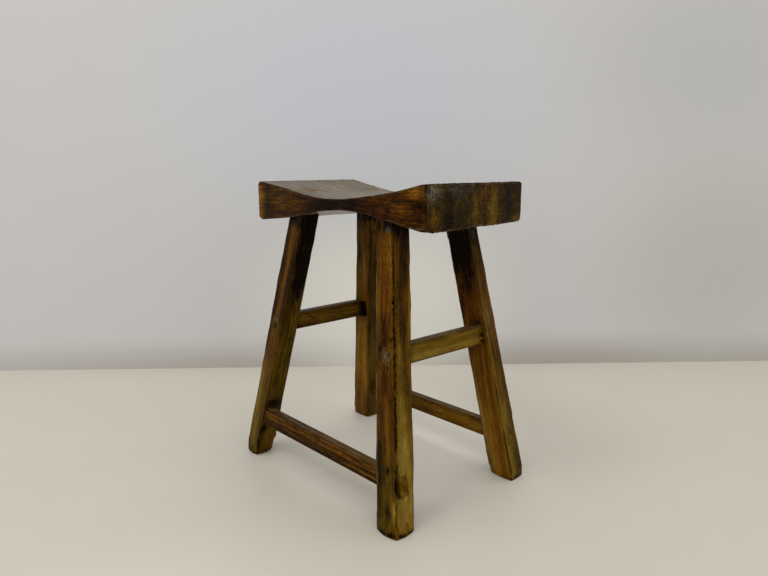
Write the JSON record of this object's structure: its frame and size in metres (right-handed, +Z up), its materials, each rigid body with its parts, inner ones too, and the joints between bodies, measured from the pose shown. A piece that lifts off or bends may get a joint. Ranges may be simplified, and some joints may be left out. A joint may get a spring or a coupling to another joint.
{
  "type": "saddle stool",
  "caption": "Rustic hardwood stool with a saddle-dished plank seat on splayed legs, tied by low long and high short stretchers with through mortise-and-tenon joints.",
  "frame": {"origin": "on the floor, in the middle of the stool's outline seen from above", "axes": "+X along the seat's length, -Y the front with the nearer long rail, +Z up"},
  "size_m": [0.4162, 0.3048, 0.5014],
  "materials": {
    "seat_plank": "old elm plank, waxed, worn and darkened",
    "leg_wood": "old elm, hewn and waxed, golden brown with dark cracks",
    "rail_wood": "old elm, waxed, with deep open grain",
    "wedge_wood": "darkened hardwood, end grain"
  },
  "bodies": {
    "root": {"seat": "seat_plank", "leg_front_right": "leg_wood", "leg_front_left": "leg_wood", "leg_back_right": "leg_wood", "leg_back_left": "leg_wood", "stretcher_front": "rail_wood", "stretcher_back": "rail_wood", "stretcher_right": "rail_wood", "stretcher_left": "rail_wood", "wedge_front_right": "wedge_wood", "wedge_front_left": "wedge_wood", "wedge_back_right": "wedge_wood", "wedge_back_left": "wedge_wood"}
  },
  "joints": []
}
